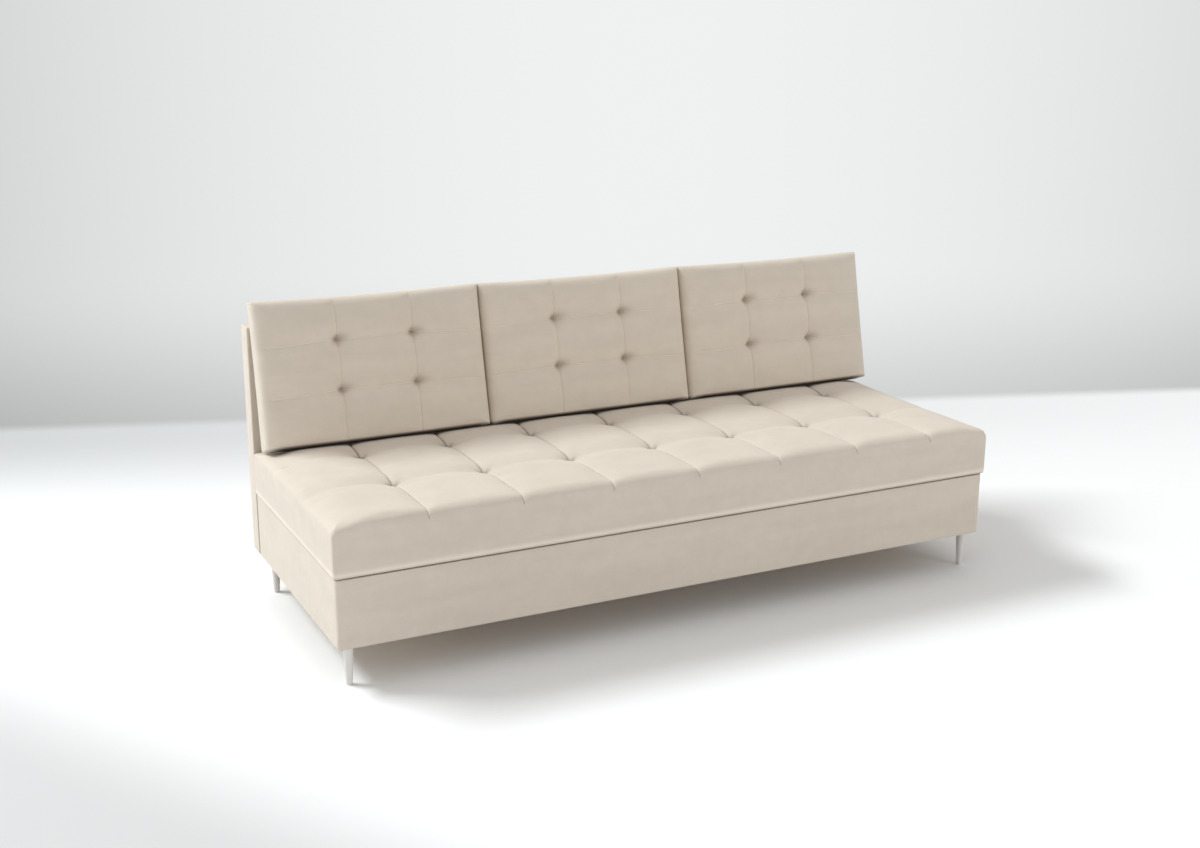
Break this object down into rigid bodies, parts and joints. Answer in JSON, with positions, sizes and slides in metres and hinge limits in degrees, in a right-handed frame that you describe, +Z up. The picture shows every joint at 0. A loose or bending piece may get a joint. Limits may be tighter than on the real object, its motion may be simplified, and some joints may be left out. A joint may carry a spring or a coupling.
{
  "type": "armless sofa",
  "caption": "Armless sofa: a tufted seat lifts and tilts over a bedding box, with loose tufted back cushions against a low padded panel, on tapered legs.",
  "frame": {"origin": "on the floor, under the centre of the whole sofa's box", "axes": "+X along the length to the right hand of someone who faces the sofa, +Y to the back, +Z up"},
  "size_m": [2.029, 0.826, 0.8471],
  "materials": {
    "velour": "beige short-pile velour with a soft sheen",
    "foam": "open-cell upholstery foam",
    "plywood": "unfinished plywood",
    "timber": "planed softwood",
    "hardboard": "smooth hardboard",
    "leg_paint": "satin warm grey",
    "glide_plastic": "matt",
    "zinc_steel": "zinc plated",
    "bright_steel": "bright",
    "twine": "waxed twine",
    "zip_plastic": "matt nylon",
    "lining": "black non-woven lining"
  },
  "bodies": {
    "base": {"base_front_board": "plywood", "base_rear_board": "plywood", "base_left_board": "plywood", "base_right_board": "plywood", "base_corner_blocks": "timber", "base_floor_bearers": "timber", "base_floor_board": "plywood", "base_cover": "velour", "leg_front_left": "leg_paint", "leg_front_right": "leg_paint", "leg_rear_left": "leg_paint", "leg_rear_right": "leg_paint", "leg_studs": "zinc_steel", "leg_inserts": "zinc_steel", "leg_glides": "glide_plastic", "back_top_rail": "timber", "back_middle_rail": "timber", "back_bottom_rail": "timber", "back_stiles": "timber", "back_front_board": "plywood", "back_lower_packer": "plywood", "back_foam": "foam", "back_rear_card": "hardboard", "back_cover": "velour", "back_bolts": "zinc_steel", "back_nuts": "zinc_steel", "lift_base_plates": "zinc_steel", "lift_base_screws": "bright_steel", "lift_lower_pins": "bright_steel"},
    "rear_links": {"rear_links": "zinc_steel"},
    "front_links": {"front_links": "zinc_steel"},
    "seat": {"lift_seat_brackets": "zinc_steel", "lift_bracket_screws": "bright_steel", "lift_upper_pins": "bright_steel", "seat_front_rail": "timber", "seat_rear_rail": "timber", "seat_end_rails": "timber", "seat_cross_rails": "timber", "seat_deck": "plywood", "seat_foam": "foam", "seat_cover": "velour", "seat_tuft_ties": "twine", "seat_underlining": "lining"},
    "left_cushion": {"left_cushion_cover": "velour", "left_cushion_core": "foam", "left_cushion_ties": "twine", "left_cushion_zip": "zip_plastic"},
    "middle_cushion": {"middle_cushion_cover": "velour", "middle_cushion_core": "foam", "middle_cushion_ties": "twine", "middle_cushion_zip": "zip_plastic"},
    "right_cushion": {"right_cushion_cover": "velour", "right_cushion_core": "foam", "right_cushion_ties": "twine", "right_cushion_zip": "zip_plastic"}
  },
  "joints": [
    {"name": "seat_lift", "type": "hinge", "parent": "base", "child": "rear_links", "pos_m": [0, 0.052, 0.242], "axis": [1, 0, 0], "range_deg": [0, 64]},
    {"name": "front_links_turn", "type": "hinge", "parent": "base", "child": "front_links", "pos_m": [0, -0.032, 0.172], "axis": [1, 0, 0], "range_deg": [0, 51.65]},
    {"name": "seat_tilt", "type": "hinge", "parent": "rear_links", "child": "seat", "pos_m": [0, 0.21, 0.269], "axis": [1, 0, 0], "range_deg": [-96.15, 0]},
    {"name": "left_cushion_rise", "type": "slide", "parent": "base", "child": "left_cushion", "axis": [0, 0.1788, 0.9839], "range_m": [0, 0.146]},
    {"name": "middle_cushion_rise", "type": "slide", "parent": "base", "child": "middle_cushion", "axis": [0, 0.1788, 0.9839], "range_m": [0, 0.146]},
    {"name": "right_cushion_rise", "type": "slide", "parent": "base", "child": "right_cushion", "axis": [0, 0.1788, 0.9839], "range_m": [0, 0.146]}
  ],
  "couplings": [
    {"joint": "front_links_turn", "follows": "seat_lift", "ratio": 0.8065},
    {"joint": "seat_tilt", "follows": "seat_lift", "ratio": -1.5015},
    {"joint": "left_cushion_rise", "follows": "seat_lift", "m_per_rad": 0.13},
    {"joint": "middle_cushion_rise", "follows": "seat_lift", "m_per_rad": 0.13},
    {"joint": "right_cushion_rise", "follows": "seat_lift", "m_per_rad": 0.13}
  ]
}
